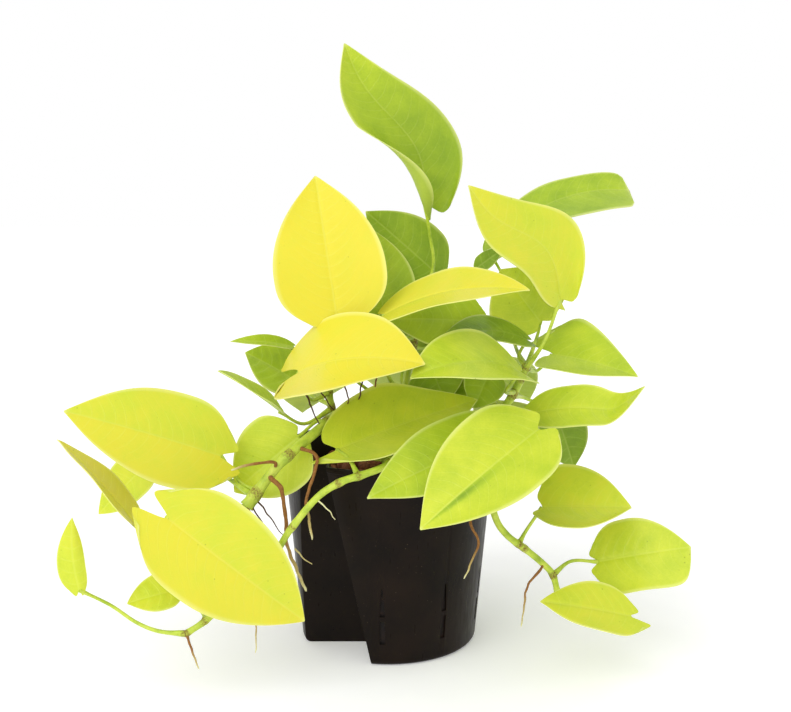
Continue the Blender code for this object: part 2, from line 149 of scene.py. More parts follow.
def makeLeafMaterial():  # living leaf: thin waxy skin over juicy tissue, glossy on top and lit through
    look = leafLook
    material, tree, shader = startMaterial("waxyLeafTissue", look["roughness"], 1.42)
    tone, edge, under = [addNode(tree, "Attribute", {"attribute_name": name}).outputs["Fac"]
                         for name in ("tone", "edge", "under")]
    place = addNode(tree, "TexCoord").outputs["Object"]
    blotch = addNode(tree, "TexNoise", {"Scale": patternScale(look["blotch"]), "Detail": 4},
                     {"Vector": place})  # slow changes of pigment
    freckle = addNode(tree, "TexNoise", {"Scale": patternScale(look["freckle"]), "Detail": 3},
                      {"Vector": place})  # cell clusters, about a millimetre
    shift = addNode(tree, "MapRange", {"From Min": 0.3, "From Max": 0.7, "To Min": -0.07,
                                       "To Max": 0.07}, {"Value": blotch})
    fine = addNode(tree, "MapRange", {"From Min": 0.3, "From Max": 0.7, "To Min": -0.025,
                                      "To Max": 0.025}, {"Value": freckle})
    shifted = addNode(tree, "Math", {"operation": "ADD"}, {0: tone, 1: shift})
    total = addNode(tree, "Math", {"operation": "ADD"}, {0: shifted, 1: fine})
    body = addNode(tree, "ValToRGB", {}, {"Fac": total})
    setRamp(body, look["tones"])
    # veins in the blade's own measures: x across from the midrib, y along from the foot
    marks = addNode(tree, "UVMap", {"uv_map": "blade"})
    split = addNode(tree, "SeparateXYZ", {}, {0: marks})
    across = addNode(tree, "Math", {"operation": "MULTIPLY_ADD", 1: look["markSpan"],
                                    2: -look["markSpan"] / 2}, {0: split.outputs[0]})
    away = addNode(tree, "Math", {"operation": "ABSOLUTE"}, {0: across})
    along = addNode(tree, "Math", {"operation": "MULTIPLY", 1: look["markSpan"]},
                    {0: split.outputs[1]})
    curve = addNode(tree, "Math", {"operation": "POWER", 1: look["veinCurve"]}, {0: away})
    lean = addNode(tree, "Math", {"operation": "MULTIPLY", 1: -look["veinLean"]}, {0: curve})
    sweep = addNode(tree, "Math", {"operation": "ADD"}, {0: along, 1: lean})
    wander = addNode(tree, "Math", {"operation": "MULTIPLY_ADD", 1: 5.0}, {0: blotch, 2: sweep})
    beat = addNode(tree, "Math", {"operation": "PINGPONG", 1: look["veinSpacing"] / 2}, {0: wander})
    vein = addNode(tree, "MapRange", {"interpolation_type": "SMOOTHSTEP", "From Min": 0.0, "To Max": 0.0,
                                      "From Max": look["veinWidth"], "To Min": 1.0}, {"Value": beat})
    fade = addNode(tree, "MapRange", {"From Min": 2.0, "From Max": 30.0, "To Min": 0.8, "To Max": 0.15},
                   {"Value": away})
    faintVein = addNode(tree, "Math", {"operation": "MULTIPLY"}, {0: vein, 1: fade})
    rib = addNode(tree, "MapRange", {"interpolation_type": "SMOOTHSTEP", "From Min": 0.2, "To Max": 0.0,
                                     "From Max": look["ribWidth"], "To Min": 1.0}, {"Value": away})
    lines = addNode(tree, "Math", {"operation": "MAXIMUM"}, {0: faintVein, 1: rib})
    veinShare = addNode(tree, "Math", {"operation": "MULTIPLY", 1: 0.13}, {0: lines})
    veined = addNode(tree, "Mix", {"data_type": "RGBA", 7: linear(look["vein"])},
                     {"Factor": veinShare, 6: body})
    edgeShare = addNode(tree, "Math", {"operation": "MULTIPLY", 1: 0.5}, {0: edge})
    edged = addNode(tree, "Mix", {"data_type": "RGBA", 7: linear(look["margin"])},
                    {"Factor": edgeShare, 6: veined.outputs[2]})  # the pale rolled margin
    # the underside's own paler colour, painted lighter still: painted light on undersides that face away
    # from the lamp
    undersideLightShare = addNode(tree, "Math", {"operation": "MULTIPLY", 1: 0.3}, {0: under})
    sided = addNode(tree, "Mix", {"data_type": "RGBA", 7: linear(look["undersideAndPaintedLight"])},
                    {"Factor": undersideLightShare, 6: edged.outputs[2]})
    pits = addNode(tree, "TexVoronoi", {"Scale": patternScale(look["pits"])}, {"Vector": place})
    pit = addNode(tree, "MapRange", {"From Min": 0.05, "From Max": 0.1, "To Min": 0.55, "To Max": 0.0},
                  {"Value": pits})
    worn = addNode(tree, "MapRange", {"From Min": 0.52, "From Max": 0.62}, {"Value": blotch})
    pitShare = addNode(tree, "Math", {"operation": "MULTIPLY"}, {0: pit, 1: worn})
    pitted = addNode(tree, "Mix", {"data_type": "RGBA", 7: linear(look["prick"])},
                     {"Factor": pitShare, 6: sided.outputs[2]})  # pin-prick marks of handling
    shader.inputs["Specular IOR Level"].default_value = look["gloss"]
    dull = addNode(tree, "MapRange", {"From Min": 0.3, "From Max": 0.7, "To Min": 0.3, "To Max": 0.46},
                   {"Value": freckle})
    duller = addNode(tree, "Math", {"operation": "MULTIPLY_ADD", 1: 0.2}, {0: under, 2: dull})
    grain = addNode(tree, "Math", {"operation": "MULTIPLY_ADD", 1: 0.35}, {0: freckle, 2: lines})
    relief = addNode(tree, "Bump", {"Strength": 0.35, "Distance": look["relief"] * mm},
                     {"Height": grain})
    feed(shader, {"Base Color": pitted.outputs[2], "Roughness": duller, "Normal": relief})
    shader.inputs["Subsurface Weight"].default_value = look["glow"]
    shader.inputs["Subsurface Radius"].default_value = (1.0, 0.9, 0.2)
    shader.inputs["Subsurface Scale"].default_value = look["depth"] * mm
    return material


stemLook = dict(blotch=9, speck=0.9, relief=0.25, depth=2, glow=0.2, roughness=0.42,
                tones=[(0.3, "#93AE31"), (0.5, "#BCD044"), (0.72, "#D6E05E")], scar="#7A5A2A")


def makeStemMaterial():  # living stem: smooth juicy lime rind, corky brown scars where sheaths fell off
    look = stemLook
    material, tree, shader = startMaterial("limeStemRind", look["roughness"], 1.42)
    place = addNode(tree, "TexCoord").outputs["Object"]
    scar = addNode(tree, "Attribute", {"attribute_name": "scar"}).outputs["Fac"]
    blotch = addNode(tree, "TexNoise", {"Scale": patternScale(look["blotch"]), "Detail": 5,
                                        "Roughness": 0.65}, {"Vector": place})
    body = addNode(tree, "ValToRGB", {}, {"Fac": blotch})
    setRamp(body, look["tones"])
    speck = addNode(tree, "TexNoise", {"Scale": patternScale(look["speck"]), "Detail": 3},
                    {"Vector": place})
    ragged = addNode(tree, "Math", {"operation": "MULTIPLY_ADD", 1: 0.9, 2: -0.45}, {0: speck})
    scarShare = addNode(tree, "Math", {"operation": "ADD", "use_clamp": True}, {0: scar, 1: ragged})
    cork = addNode(tree, "MapRange", {"From Min": 0.35, "From Max": 0.75}, {"Value": scarShare})
    skin = addNode(tree, "Mix", {"data_type": "RGBA", 7: linear(look["scar"])}, {"Factor": cork, 6: body})
    dull = addNode(tree, "MapRange", {"To Min": 0.36, "To Max": 0.8}, {"Value": cork})
    relief = addNode(tree, "Bump", {"Strength": 0.3, "Distance": look["relief"] * mm}, {"Height": speck})
    feed(shader, {"Base Color": skin.outputs[2], "Roughness": dull, "Normal": relief})
    shader.inputs["Subsurface Weight"].default_value = look["glow"]
    shader.inputs["Subsurface Radius"].default_value = (1.0, 0.9, 0.2)
    shader.inputs["Subsurface Scale"].default_value = look["depth"] * mm
    return material


rootLook = dict(wrinkle=1.4, relief=0.4, roughness=0.75,
                tones=[(0.15, "#E6E3AE"), (0.4, "#C2AE6C"), (0.8, "#95622A"), (1.0, "#50331A")])


def makeRootMaterial():  # aerial root: dry wrinkled brown bark that ends in a live cream tip
    look = rootLook
    material, tree, shader = startMaterial("aerialRootBark", look["roughness"], 1.45)
    place = addNode(tree, "TexCoord").outputs["Object"]
    age = addNode(tree, "Attribute", {"attribute_name": "age"}).outputs["Fac"]
    wrinkle = addNode(tree, "TexNoise", {"Scale": patternScale(look["wrinkle"]), "Detail": 5,
                                         "Roughness": 0.7}, {"Vector": place})
    mixed = addNode(tree, "Math", {"operation": "MULTIPLY_ADD", 1: 0.5}, {0: wrinkle, 2: age})
    body = addNode(tree, "ValToRGB", {}, {"Fac": mixed})
    setRamp(body, look["tones"])
    relief = addNode(tree, "Bump", {"Strength": 0.6, "Distance": look["relief"] * mm},
                     {"Height": wrinkle})
    feed(shader, {"Base Color": body, "Normal": relief})
    return material


potLook = dict(cloud=30, dust=2.4, patch=11, scuff=1.6, peel=3, relief=0.3, roughness=0.34, gloss=0.11,
               tones=[(0.3, "#0F0905"), (0.7, "#1C120B")], dustColour="#6E5D4C")


def makePotMaterial():  # moulded polypropylene: warm black, satin, with dust specks and handling scuffs
    look = potLook
    material, tree, shader = startMaterial("mouldedBlackPolypropylene", look["roughness"], 1.49)
    place = addNode(tree, "TexCoord").outputs["Object"]
    cloud = addNode(tree, "TexNoise", {"Scale": patternScale(look["cloud"]), "Detail": 5},
                    {"Vector": place})
    body = addNode(tree, "ValToRGB", {}, {"Fac": cloud})
    setRamp(body, look["tones"])
    dust = addNode(tree, "TexVoronoi", {"Scale": patternScale(look["dust"])}, {"Vector": place})
    patch = addNode(tree, "TexNoise", {"Scale": patternScale(look["patch"]), "Detail": 2},
                    {"Vector": place})
    grain = addNode(tree, "MapRange", {"From Min": 0.06, "From Max": 0.13, "To Min": 1.0, "To Max": 0.0},
                    {"Value": dust})
    where = addNode(tree, "MapRange", {"From Min": 0.5, "From Max": 0.68}, {"Value": patch})
    dusty = addNode(tree, "Math", {"operation": "MULTIPLY"}, {0: grain, 1: where})
    dustShare = addNode(tree, "Math", {"operation": "MULTIPLY", 1: 0.5}, {0: dusty})
    mixed = addNode(tree, "Mix", {"data_type": "RGBA", 7: linear(look["dustColour"])},
                    {"Factor": dustShare, 6: body})
    shader.inputs["Specular IOR Level"].default_value = look["gloss"]
    upright = addNode(tree, "Mapping", {"Scale": (1.0, 1.0, 0.12)}, {"Vector": place})
    scuff = addNode(tree, "TexNoise", {"Scale": patternScale(look["scuff"]), "Detail": 4},
                    {"Vector": upright})
    dull = addNode(tree, "MapRange", {"From Min": 0.3, "From Max": 0.75, "To Min": 0.27, "To Max": 0.5},
                   {"Value": scuff})
    peel = addNode(tree, "TexNoise", {"Scale": patternScale(look["peel"]), "Detail": 2},
                   {"Vector": place})
    relief = addNode(tree, "Bump", {"Strength": 0.12, "Distance": look["relief"] * mm}, {"Height": peel})
    feed(shader, {"Base Color": mixed.outputs[2], "Roughness": dull, "Normal": relief})
    return material


bedShadeLook = dict(crumb=4, relief=1, roughness=0.8,
                tones=[(0.35, "#0B0705"), (0.6, "#1E120C"), (0.75, "#3A2417")])


def makeBedShadeMaterial():  # damp clay bed seen through the slots: dark brown crumbs, painted near black as the shade inside the pot
    look = bedShadeLook
    material, tree, shader = startMaterial("bedPaintedShade", look["roughness"], 1.4)
    place = addNode(tree, "TexCoord").outputs["Object"]
    crumb = addNode(tree, "TexNoise", {"Scale": patternScale(look["crumb"]), "Detail": 5},
                    {"Vector": place})
    body = addNode(tree, "ValToRGB", {}, {"Fac": crumb})
    setRamp(body, look["tones"])
    relief = addNode(tree, "Bump", {"Strength": 0.7, "Distance": look["relief"] * mm}, {"Height": crumb})
    feed(shader, {"Base Color": body, "Normal": relief})
    return material


clayLook = dict(patch=7, pore=1.3, relief=0.5, roughness=0.95,
                tones=[(0.25, "#4A2A1B"), (0.5, "#7E4A30"), (0.66, "#99674A"), (0.8, "#B89A80")])


def makeClayMaterial():  # fired expanded clay: matt brown crust with pores and a dusting of mineral
    look = clayLook
    material, tree, shader = startMaterial("expandedClayCrust", look["roughness"], 1.45)
    place = addNode(tree, "TexCoord").outputs["Object"]
    patch = addNode(tree, "TexNoise", {"Scale": patternScale(look["patch"]), "Detail": 6,
                                       "Roughness": 0.7}, {"Vector": place})
    body = addNode(tree, "ValToRGB", {}, {"Fac": patch})
    setRamp(body, look["tones"])
    pores = addNode(tree, "TexVoronoi", {"Scale": patternScale(look["pore"])}, {"Vector": place})
    relief = addNode(tree, "Bump", {"Strength": 0.6, "Distance": look["relief"] * mm}, {"Height": pores})
    feed(shader, {"Base Color": body, "Normal": relief})
    return material


leafTissue = makeLeafMaterial()
stemRind = makeStemMaterial()
rootBark = makeRootMaterial()
potPlastic = makePotMaterial()
clayCrust = makeClayMaterial()
bedShadePaint = makeBedShadeMaterial()
print("materials made")


# Pot: a 13 cm culture pot, 12 cm high, with a channel for the water gauge. Sizes in mm, angles in degrees

pot = dict(height=120, topRadius=65, baseRadius=54, wall=1.4, floor=2, sides=144, edge=0.5,
           channelBase=(-10.0, -16.8), channelTop=(-35.6, -39.0), channelReach=-80, channelAngle=227.3,
           slotAngles=(39, 78, 117, 156, 204, 243, 282, 321), slotWidth=3.2, slotDepth=12,
           slots=((13.7, 28.0, False), (31.0, 46.0, True)), pointWidth=0.3, pointRise=2,
           footRadius=3, rimFrom=117, rimProud=0.5)


def coneRadius(height):
    return pot["baseRadius"] + (pot["topRadius"] - pot["baseRadius"]) * height / pot["height"]


def channelCorner(height, grow):  # where the channel's inner edge stands at this height
    share = height / pot["height"]
    return [low + (high - low) * share + grow
            for low, high in zip(pot["channelBase"], pot["channelTop"])]


def addCone(low, high, shrink):  # a drafted round block between two heights
    bpy.ops.object.select_all(action="DESELECT")
    bpy.ops.mesh.primitive_cone_add(vertices=pot["sides"], radius1=(coneRadius(low) - shrink) * mm,
                                    radius2=(coneRadius(high) - shrink) * mm, depth=(high - low) * mm,
                                    location=(0, 0, (low + high) / 2 * mm))
    bpy.ops.object.transform_apply(location=True, rotation=True, scale=True)
    return bpy.context.active_object


def addCube():
    bpy.ops.object.select_all(action="DESELECT")
    bpy.ops.mesh.primitive_cube_add(size=1)
    return bpy.context.active_object


def addChannel(grow):  # the block whose inner upright edge leans out as the channel's does
    block = addCube()
    for vert in block.data.vertices:
        height = pot["height"] + 5 if vert.co.z > 0 else -5  # past the pot's top and foot
        corner = channelCorner(height, grow)
        x = corner[0] if vert.co.x > 0 else pot["channelReach"]
        y = corner[1] if vert.co.y > 0 else pot["channelReach"]
        vert.co = Vector((x, y, height)) * mm
    return block


def addSlot(angle, low, high, pointed):
    slot = addCube()
    bpy.ops.object.mode_set(mode="EDIT")
    bpy.ops.mesh.select_all(action="SELECT")
    bpy.ops.transform.resize(value=(pot["slotDepth"] * mm, pot["slotWidth"] * mm, (high - low) * mm))
    bpy.ops.object.mode_set(mode="OBJECT")
    if pointed:  # its top narrows to a point
        for vert in slot.data.vertices:
            if vert.co.z > 0:
                vert.co.y *= pot["pointWidth"]
                vert.co.z += pot["pointRise"] * mm
    turn = Matrix.Rotation(math.radians(pot["channelAngle"] + angle), 4, "Z")
    middle = (low + high) / 2
    slot.data.transform(turn @ Matrix.Translation((coneRadius(middle) * mm, 0, middle * mm)))
    return slot


def selectFacing(thing, up):  # the faces that point up, or down for -1
    bpy.ops.mesh.select_all(action="DESELECT")
    bpy.ops.object.mode_set(mode="OBJECT")
    for face in thing.data.polygons:
        face.select = face.normal.z * up > 0.9
    bpy.ops.object.mode_set(mode="EDIT")


def addPotBody():  # a drafted block with a rounded foot and a rim that stands proud
    rimStart = pot["rimFrom"] - pot["rimProud"]
    body = addCone(0, rimStart, pot["rimProud"])
    grow = pot["topRadius"] / (coneRadius(rimStart) - pot["rimProud"])
    rim = (pot["height"] - pot["rimFrom"]) * mm
    bpy.ops.object.mode_set(mode="EDIT")
    bpy.ops.mesh.select_mode(type="FACE")
    selectFacing(body, 1)
    bpy.ops.mesh.extrude_region_move(TRANSFORM_OT_translate={"value": (0, 0, pot["rimProud"] * mm)})
    bpy.ops.transform.resize(value=(grow, grow, 1))
    bpy.ops.mesh.extrude_region_move(TRANSFORM_OT_translate={"value": (0, 0, rim)})
    selectFacing(body, -1)
    bpy.ops.mesh.bevel(offset=pot["footRadius"] * mm, segments=5, affect="EDGES")
    bpy.ops.object.mode_set(mode="OBJECT")
    return body


def makePot():
    body = addPotBody()
    joinWith(body, addChannel(0), "DIFFERENCE")
    inside = addCone(pot["floor"], pot["height"] + 1, pot["wall"])
    inside.data.transform(Matrix.Rotation(math.pi / pot["sides"], 4, "Z"))
    joinWith(inside, addChannel(pot["wall"]), "DIFFERENCE")
    joinWith(body, inside, "DIFFERENCE")
    for angle in pot["slotAngles"]:
        for slot in pot["slots"]:
            joinWith(body, addSlot(angle, *slot), "DIFFERENCE")
    bevel = body.modifiers.new("softEdges", "BEVEL")
    bevel.width = pot["edge"] * mm
    bevel.segments = 2
    bevel.limit_method = "ANGLE"
    bevel.angle_limit = math.radians(35)
    bevel.use_clamp_overlap = True
    applyModifiers(body)
    finishPiece(body, "culturePot", potPlastic, ["culture_pot"], 30)


makePot()
print("pot made")


# Clay pebbles, heaped a little in the middle, on a dark bed that fills the pot. Sizes in mm

clay = dict(count=330, tries=40000, seed=4, smallest=3.4, largest=6.2, overlap=0.86, top=104.5, spread=62,
            depth=7, heap=2.5, gap=0.6, lump=0.7, lumpSize=4, bedTop=98, bedLift=0.4, channelGap=0.5)


def inChannel(x, y, z):
    corner = channelCorner(z, pot["wall"])
    return x < corner[0] and y < corner[1]


def makeBed():
    bed = addCone(pot["floor"] + clay["bedLift"], clay["bedTop"], pot["wall"] + clay["gap"])
    joinWith(bed, addChannel(pot["wall"] + clay["channelGap"]), "DIFFERENCE")
    finishPiece(bed, "clayBed", bedShadePaint, ["clay_granules"], 30)


def makePebbles():
    random.seed(clay["seed"])
    bpy.ops.object.select_all(action="DESELECT")
    bpy.ops.mesh.primitive_ico_sphere_add(subdivisions=2, radius=1)
    pattern = bpy.context.active_object
    placed = []
    copies = []
    tries = 0
    while len(placed) < clay["count"] and tries < clay["tries"]:
        tries += 1
        size = random.uniform(clay["smallest"], clay["largest"])
        far = clay["spread"] * math.sqrt(random.random())
        turn = random.uniform(0, 2 * math.pi)
        x, y = far * math.cos(turn), far * math.sin(turn)
        z = clay["top"] - random.uniform(0, clay["depth"]) - clay["heap"] * (far / clay["spread"]) ** 2
        if far + size > coneRadius(z) - pot["wall"] - clay["gap"] or inChannel(x - size, y - size, z):
            continue
        spot = Vector((x, y, z))
        if any((spot - other).length < clay["overlap"] * (size + reach) for other, reach in placed):
            continue
        placed.append((spot, size))
        pebble = pattern.copy()
        pebble.data = pattern.data.copy()
        scene.collection.objects.link(pebble)
        shape = Matrix.Diagonal((size, size * random.uniform(0.8, 1), size * random.uniform(0.72, 0.95), 1))
        tilt = Matrix.Rotation(random.uniform(0, 6.3), 4, Vector((random.random(), random.random(), 0.5)))
        pebble.data.transform(Matrix.Scale(mm, 4) @ Matrix.Translation(spot) @ tilt @ shape)
        for vert in pebble.data.vertices:  # a lumpy crust
            out = (vert.co / mm - spot).normalized()
            vert.co += out * noise.noise(vert.co / (clay["lumpSize"] * mm)) * clay["lump"] * mm
        copies.append(pebble)
    bpy.data.objects.remove(pattern, do_unlink=True)
    finishPiece(joinAll(copies), "clayPebbles", clayCrust, (), 180)
    print("pebbles:", len(placed))


makeBed()
makePebbles()


# Leaves, with what differs from commonLeaf: vine, points under way to the stalk's end, foot and tip of the
# blade, where its upper side faces, width in mm, droop and the fold of each half in degrees, tone from
# 0 yellow to 1 deep green. A pair gives the left half, then the right

commonLeaf = dict(droop=10, folds=(10, 10), lobes=(0.08, 0.08), widest=0.33, necks=(0.6, 0.6), points=(2, 2),
                  skew=0, baseCurls=(0, 0), wave=0.8, waveRun=8, sway=0, snake=0, hook=0, sag=0, foldShadeBand=0,
                  paintedHalfShades=(0, 0), tipTone=-0.04)

leaves = {
    "leaf_01": dict(
        vine="crown_centre", stalk=[(27, 13, 228), (25, 8, 246)], foot=(22, 2, 265),
        tip=(-25, -12, 358), faces=(0.42, -0.87, 0.24), width=58, folds=(35, 35), tone=0.74,
        baseCurls=(170, 20), sway=6, snake=6, skew=-0.12, points=(2.8, 2.2), tipTone=-0.3,
        necks=(0.85, 0.4)),
    "leaf_02": dict(
        vine="crown_right", stalk=[(77, 16, 182), (76, 46, 210)], foot=(64, 58, 234),
        tip=(151, 46, 273), faces=(0, -0.5, 0.87), width=44, droop=70, folds=(15, 10), tone=0.72,
        points=(40, 40), widest=0.35, skew=0.25, lobes=(0.04, 0.16), necks=(0.5, 0.9)),
    "leaf_03": dict(
        vine="crown_right", stalk=[(92, -20, 188)], foot=(103, 0, 209), tip=(46, -24, 278),
        faces=(0.35, -0.85, 0.4), width=50, droop=15, tone=0.30, snake=7, sway=8, baseCurls=(0, 60),
        points=(2, 2.2), necks=(0.9, 0.5)),
    "leaf_04": dict(
        vine="crown_left", stalk=[(-32, -20, 188)], foot=(-30, -25, 202), tip=(-43, -5, 283),
        faces=(0.05, -1.0, 0.2), width=66, tone=0.04),
    "leaf_05": dict(
        vine="crown_left", stalk=[(-46, -28, 154)], foot=(-51, -50, 174), tip=(20, -80, 184),
        faces=(0.05, -0.65, 0.75), width=76, droop=50, folds=(0, 30), tone=0.06, lobes=(0.34, 0.2),
        necks=(0.2, 0.85), widest=0.3),
    "leaf_06": dict(
        vine="crown_centre", stalk=[(2, 0, 184), (-1, -12, 198)], foot=(-3, -24, 203),
        tip=(78, -60, 222), faces=(-0.05, -0.35, 0.95), width=54, droop=38, tone=0.14, necks=(0.4, 0.4),
        wave=0.5, paintedHalfShades=(0, 0.05)),
    "leaf_07": dict(
        vine="crown_right", stalk=[(78, -6, 176)], foot=(83, -6, 186), tip=(28, -18, 185),
        faces=(0, -0.3, 0.95), width=38, droop=60, folds=(5, 5), tone=0.86),
    "leaf_08": dict(
        vine="crown_right", stalk=[(68, -34, 160)], foot=(75, -48, 174), tip=(12, -84, 177),
        faces=(0, -0.42, 0.9), width=56, droop=55, folds=(15, 15), tone=0.52),
    "leaf_09": dict(
        vine="crown_right", stalk=[(90, 0, 166)], foot=(99, 2, 176), tip=(146, -25, 167),
        faces=(0.1, -0.7, 0.7), width=64, droop=20, folds=(0, 45), tone=0.56, widest=0.2,
        lobes=(0.35, 0.05), points=(1.2, 1.6), wave=1.5, waveRun=10),
    "leaf_10": dict(
        vine="right", stalk=[(66, -44, 132), (74, -40, 136)], foot=(82, -38, 148),
        tip=(141, -58, 153), faces=(-0.1, -0.5, 0.85), width=36, droop=30, tone=0.50, hook=20, sag=1,
        wave=1.2, waveRun=9, points=(2, 4), widest=0.4),
    "leaf_11": dict(
        vine="crown_right", stalk=[(84, 4, 148)], foot=(103, 10, 138), tip=(115, 10, 103),
        faces=(0.2, -1, 0.2), width=32, droop=15, tone=0.88),
    "leaf_12": dict(
        vine="right", stalk=[(64, -60, 126), (79, -76, 137)], foot=(82, -80, 148),
        tip=(17, -114, 102), faces=(-0.1, -0.8, 0.6), width=58, droop=20, folds=(26, 12), tone=0.45,
        wave=0.6, foldShadeBand=-1),
    "leaf_13": dict(
        vine="right", stalk=[(54, -46, 138)], foot=(67, -60, 141), tip=(-11, -100, 115),
        faces=(-0.2, -0.75, 0.6), width=46, droop=15, tone=0.58),
    "leaf_14": dict(
        vine="front_left", stalk=[(-22, -66, 128)], foot=(-29, -57, 131), tip=(52, -28, 154),
        faces=(-0.1, -0.7, 0.7), width=60, folds=(5, 45), tone=0.42, wave=1.8, waveRun=9, widest=0.42,
        lobes=(0.06, 0.2), points=(1.4, 2), necks=(0.5, 0.85)),
    "leaf_15": dict(
        vine="front_left", stalk=[(-2, -37, 118), (-14, -30, 127)], foot=(-14, -38, 127),
        tip=(28, -32, 143), faces=(0, -0.7, 0.6), width=26, folds=(5, 5), tone=0.50),
    "leaf_16": dict(
        vine="left", stalk=[(-84, -57, 112)], foot=(-94, -60, 128), tip=(-175, -84, 159),
        faces=(-0.1, -0.8, 0.6), width=56, droop=15, tone=0.20, lobes=(0.14, 0.10), paintedHalfShades=(0, 0.12)),
    "leaf_17": dict(
        vine="left", stalk=[(-98, -82, 100), (-112, -93, 102)], foot=(-117, -106, 106),
        tip=(-46, -90, 42), faces=(0, -0.95, 0.3), width=60, droop=15, folds=(10, 15), tone=0.16,
        lobes=(0.14, 0.18), paintedHalfShades=(0.12, 0)),
    "leaf_18": dict(
        vine="left", stalk=[(-105, -76, 98), (-124, -83, 84)], foot=(-139, -84, 96),
        tip=(-183, -70, 140), faces=(0.65, 0.05, 0.72), width=36, folds=(15, 15), tone=0.10),
    "leaf_19": dict(
        vine="left", stalk=[(-100, -46, 116), (-124, -36, 122)], foot=(-139, -35, 119),
        tip=(-172, -30, 85), faces=(-0.3, -0.8, 0.3), width=28, tone=0.35),
    "leaf_20": dict(
        vine="front_left", stalk=[(-125, -97, 39), (-138, -94, 43), (-152, -92, 52)],
        foot=(-167, -99, 63), tip=(-170, -96, 103), faces=(-0.2, -0.95, 0.1), width=16, folds=(0, -50),
        tone=0.36, sway=-1.5, skew=-0.2),
    "leaf_21": dict(
        vine="front_left", stalk=[(-103, -88, 47)], foot=(-116, -84, 58), tip=(-143, -92, 53),
        faces=(-0.1, -0.6, 0.8), width=24, folds=(10, 55), tone=0.36),
    "leaf_22": dict(
        vine="left", stalk=[(-42, -34, 142)], foot=(-52, -44, 135), tip=(-89, -46, 103),
        faces=(-0.1, -0.95, 0.3), width=48, tone=0.45),
    "leaf_23": dict(
        vine="crown_left", stalk=[(-40, 4, 158)], foot=(-59, 2, 181), tip=(-94, -12, 186),
        faces=(-0.1, -0.6, 0.7), width=10, droop=20, folds=(20, 20), tone=0.66),
    "leaf_24": dict(
        vine="crown_left", stalk=[(-50, -22, 138)], foot=(-64, -27, 147), tip=(-98, -38, 173),
        faces=(0.3, 0, 0.9), width=34, folds=(15, 15), tone=0.60),
    "leaf_25": dict(
        vine="crown_left", stalk=[(-46, 0, 150)], foot=(-58, 4, 160), tip=(-87, 2, 177),
        faces=(0.1, -0.6, 0.8), width=38, tone=0.64),
    "leaf_26": dict(
        vine="crown_centre", stalk=[(20, 30, 198)], foot=(29, 26, 223), tip=(-14, 20, 261),
        faces=(-0.1, -0.9, 0.3), width=42, folds=(15, 15), tone=0.78),
    "leaf_27": dict(
        vine="crown_centre", stalk=[(2, 14, 184)], foot=(-3, 10, 199), tip=(-11, 14, 251),
        faces=(0.3, -0.9, 0.2), width=44, tone=0.66),
    "leaf_28": dict(
        vine="right", stalk=[(80, -46, 80)], foot=(89, -45, 94), tip=(140, -50, 95),
        faces=(0.1, -0.65, 0.75), width=60, folds=(0, 50), tone=0.36, wave=1.4, lobes=(0.05, 0.1)),
    "leaf_29": dict(
        vine="right", stalk=[(108, -36, 58)], foot=(124, -34, 57), tip=(176, -46, 70),
        faces=(0.1, -0.8, 0.55), width=44, droop=20, folds=(5, 5), tone=0.44, points=(2.4, 14), wave=1.4,
        waveRun=6),
    "leaf_30": dict(
        vine="right", stalk=[(115, -50, 33), (128, -62, 27)], foot=(137, -72, 38), tip=(85, -78, 49),
        faces=(0, -0.5, 0.87), width=36, tone=0.34, lobes=(0.22, 0.1), wave=1.2),
    "leaf_31": dict(
        vine="crown_right", stalk=[(58, 2, 172)], foot=(47, -4, 168), tip=(49, -15, 150),
        faces=(0, -1, 0.1), width=30, tone=0.74),
    "leaf_32": dict(
        vine="crown_right", stalk=[(68, -6, 168)], foot=(60, -14, 168), tip=(50, -25, 148),
        faces=(0, -1, 0.1), width=26, tone=0.70),
    "leaf_33": dict(
        vine="crown_right", stalk=[(44, 0, 164)], foot=(26, -8, 168), tip=(34, -20, 150),
        faces=(0, -1, 0.1), width=36, tone=0.78),
    "leaf_34": dict(
        vine="crown_right", stalk=[(92, 18, 186)], foot=(93, 14, 194), tip=(68, 16, 226),
        faces=(-0.1, -0.9, 0.3), width=52, tone=0.45),
    "leaf_35": dict(
        vine="crown_centre", stalk=[(38, 16, 188)], foot=(55, 6, 195), tip=(-2, -4, 198),
        faces=(0, -0.7, 0.5), width=42, droop=15, tone=0.62),
    "leaf_36": dict(
        vine="crown_centre", stalk=[(24, 28, 176)], foot=(32, 34, 186), tip=(19, 28, 164),
        faces=(0, 0.9, 0.3), width=50, tone=0.86),
    "leaf_37": dict(
        vine="crown_centre", stalk=[(40, 18, 212)], foot=(54, 16, 227), tip=(70, 14, 239),
        faces=(0, -0.8, 0.5), width=12, folds=(30, 30), tone=0.90),
    "leaf_38": dict(
        vine="back", stalk=[(-20, 46, 150)], foot=(-35, 45, 160), tip=(-60, 95, 120),
        faces=(-0.3, 0.6, 0.75), width=62, droop=20, tone=0.60),
    "leaf_39": dict(
        vine="back", stalk=[(8, 56, 150)], foot=(10, 62, 160), tip=(15, 122, 118),
        faces=(0, 0.6, 0.8), width=64, droop=20, tone=0.62),
    "leaf_40": dict(
        vine="back", stalk=[(40, 54, 152)], foot=(52, 52, 162), tip=(95, 88, 130),
        faces=(0.3, 0.6, 0.75), width=60, droop=20, tone=0.64),
    "leaf_41": dict(
        vine="back", stalk=[(-10, 44, 172)], foot=(-12, 42, 192), tip=(-30, 92, 213),
        faces=(0, 0.1, 1), width=56, droop=20, tone=0.66),
    "leaf_42": dict(
        vine="back", stalk=[(44, 44, 136)], foot=(66, 40, 136), tip=(102, 62, 90),
        faces=(0.5, 0.7, 0.5), width=52, droop=20, tone=0.62),
}

for order, (name, own) in enumerate(leaves.items()):
    leaves[name] = {**commonLeaf, "order": order, "phase": order * 1.7, **own}

blade = dict(columns=26, rows=42, thickness=0.45, lobeAt=0.55, bendSteps=6, groove=0.35, grooveWidth=1.1,
             swell=0.16, sagAt=0.75, hookFrom=0.7)


